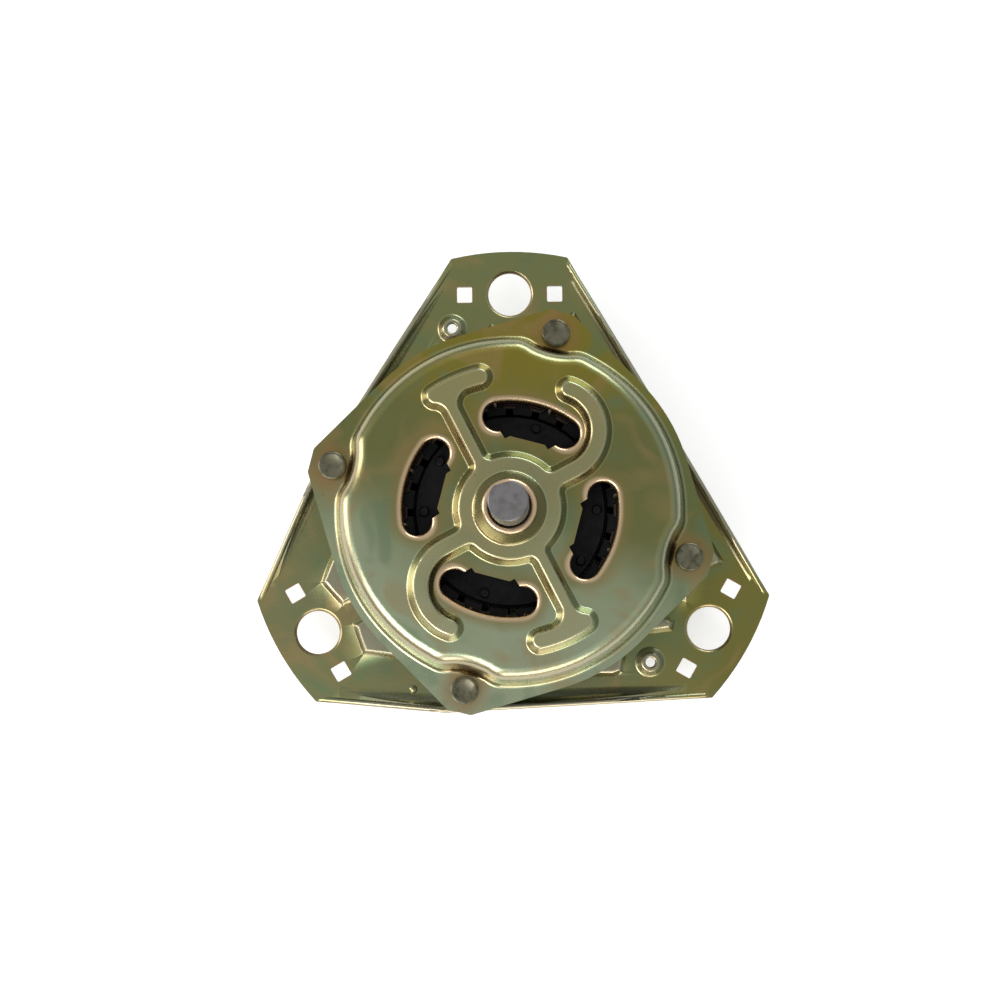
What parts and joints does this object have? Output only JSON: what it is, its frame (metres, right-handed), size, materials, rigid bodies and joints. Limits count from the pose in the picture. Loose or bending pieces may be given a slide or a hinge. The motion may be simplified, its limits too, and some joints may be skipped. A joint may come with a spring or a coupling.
{
  "type": "washing machine motor",
  "caption": "Open induction motor with drawn sheet-steel covers, a three-lobed mounting plate and a plain shaft, for driving a washing machine's pulsator or spinner",
  "frame": {"origin": "on the shaft axis, in the rear cover's hub face, on which the motor stands", "axes": "+Z along the shaft towards its driving end, +Y from the axis to the mounting plate's first lobe"},
  "size_m": [0.1703, 0.1537, 0.1245],
  "materials": {
    "zinc_dichromate": "drawn sheet steel with a yellow zinc finish, olive to gold",
    "lamination_steel": "stacked electrical steel, dull",
    "insulation_film": "milky polyester film",
    "wedge_board": "pressed fibre",
    "enamelled_wire": "varnished enamelled wire",
    "lacing_cord": "varnished white cord",
    "sleeving": "glass-fibre sleeving",
    "protector_case": "moulded case",
    "black_rubber": "moulded rubber",
    "screw_steel": "zinc-plated steel, dulled",
    "sintered_bronze": "oil-filled sintered bronze",
    "oil_felt": "oiled wool felt",
    "spring_steel": "bright sprung steel",
    "pad_plastic": "moulded nylon",
    "shaft_steel": "ground steel",
    "cast_aluminium": "die cast",
    "washer_fibre": "laminated phenolic fibre"
  },
  "bodies": {
    "housing": {"front_cover": "zinc_dichromate", "mounting_plate": "zinc_dichromate", "stator_core": "lamination_steel", "slot_liners": "insulation_film", "slot_wedges": "wedge_board", "run_winding": "enamelled_wire", "start_winding": "enamelled_wire", "winding_lacing": "lacing_cord", "splice_sleeves": "sleeving", "thermal_protector": "protector_case", "lead_grommet": "black_rubber", "through_screws": "screw_steel", "lock_washers": "screw_steel", "screw_nuts": "screw_steel", "upper_bush": "sintered_bronze", "lower_bush": "sintered_bronze", "upper_oil_felt": "oil_felt", "lower_oil_felt": "oil_felt", "upper_bush_retainer": "spring_steel", "lower_bush_retainer": "spring_steel", "lower_bearing_cup": "spring_steel", "thrust_pad": "pad_plastic"},
    "rotor": {"rotor_shaft": "shaft_steel", "rotor_core": "lamination_steel", "rotor_cage": "cast_aluminium", "upper_spacer": "screw_steel", "lower_spacer": "screw_steel", "upper_thrust_washers": "washer_fibre", "lower_thrust_washers": "washer_fibre", "oil_slinger": "screw_steel", "shaft_snap_ring": "spring_steel"}
  },
  "joints": [
    {"name": "rotor_spin", "type": "hinge", "parent": "housing", "child": "rotor", "pos_m": [0, 0, 0], "axis": [0, 0, 1], "continuous": true}
  ]
}
